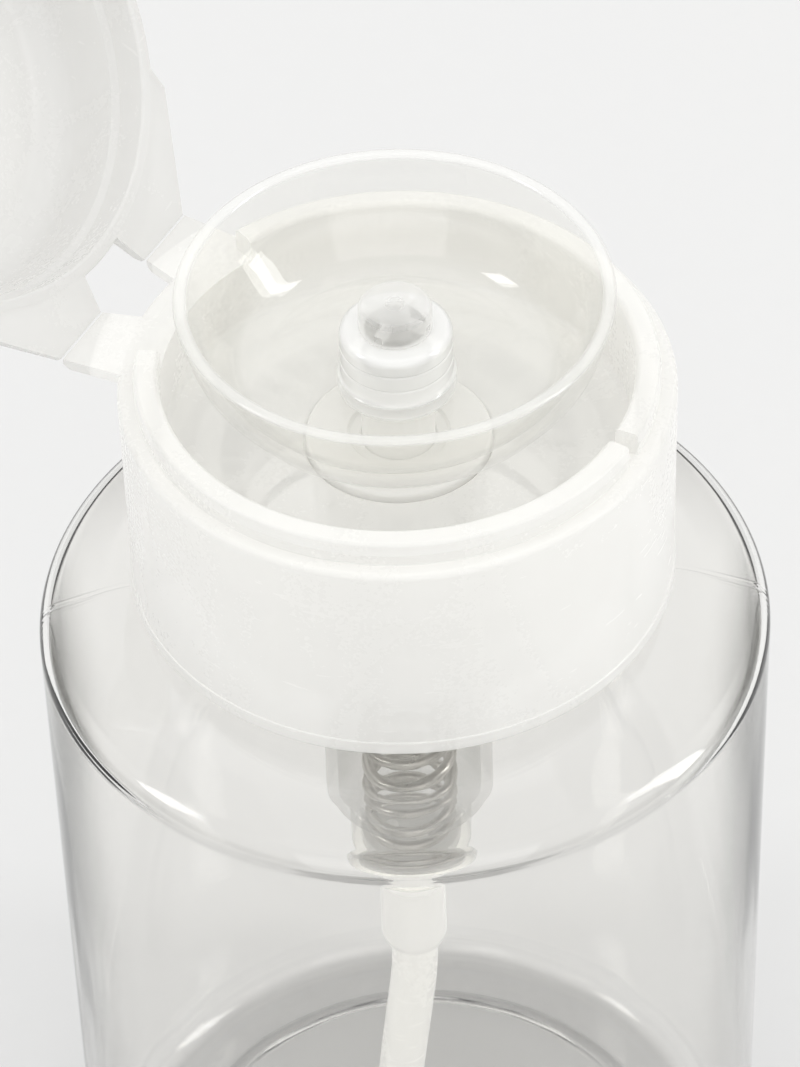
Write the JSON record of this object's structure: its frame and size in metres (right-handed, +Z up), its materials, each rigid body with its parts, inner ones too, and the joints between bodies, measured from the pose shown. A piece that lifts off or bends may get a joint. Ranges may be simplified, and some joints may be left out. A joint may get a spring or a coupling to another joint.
{
  "type": "push-down dish pump dispenser",
  "caption": "Clear round bottle with a push-down dish pump, splash nozzle, spring, check balls, dip tube and a milky collar with a hinged flip cap.",
  "frame": {"origin": "middle of the base, on the bottle's axis, in the plane it stands on", "axes": "+Z up along the bottle's axis; +Y towards the cap's hinge, so -Y is the front; +X to the right seen from the front"},
  "size_m": [0.06, 0.0911, 0.1402],
  "materials": {
    "clear_pet": "clear, glossy",
    "clear_dish": "clear, glossy",
    "milky_pp": "translucent, satin",
    "milky_pp_bright": "translucent, glossy",
    "clear_milky_pp": "translucent, smooth",
    "white_pp": "satin",
    "white_pe": "satin, soft",
    "milky_pe": "translucent, satin",
    "white_foam": "fine foam",
    "steel": "bright drawn wire and polished balls"
  },
  "bodies": {
    "bottle": {"bottle": "clear_pet"},
    "closure": {"collar": "milky_pp", "neck_gasket": "white_foam", "stem_guide": "white_pp", "pump_housing": "clear_milky_pp", "ball_retainer": "white_pp", "dip_tube": "milky_pe", "pump_spring": "steel"},
    "cap": {"flip_cap": "milky_pp"},
    "plunger": {"dish": "clear_dish", "splash_nozzle": "milky_pp_bright", "stem": "white_pp", "piston": "white_pe", "spring_cup": "white_pp"},
    "outlet_valve": {"outlet_ball": "steel"},
    "inlet_valve": {"inlet_ball": "steel"}
  },
  "joints": [
    {"name": "closure_lift", "type": "slide", "parent": "bottle", "child": "closure", "axis": [0, 0, 1], "range_m": [0, 0.092]},
    {"name": "cap_hinge", "type": "hinge", "parent": "closure", "child": "cap", "pos_m": [0, 0.0248, 0.1024], "axis": [-1, 0, 0], "range_deg": [-128, 52]},
    {"name": "dish_press", "type": "slide", "parent": "closure", "child": "plunger", "axis": [0, 0, -1], "range_m": [0, 0.005], "stiffness_N_per_m": 600, "springref_m": -0.005, "deforming": ["pump_spring"]},
    {"name": "outlet_ball_lift", "type": "slide", "parent": "plunger", "child": "outlet_valve", "axis": [0, 0, 1], "range_m": [0, 0.0007]},
    {"name": "inlet_ball_lift", "type": "slide", "parent": "closure", "child": "inlet_valve", "axis": [0, 0, 1], "range_m": [0, 0.0008]}
  ]
}
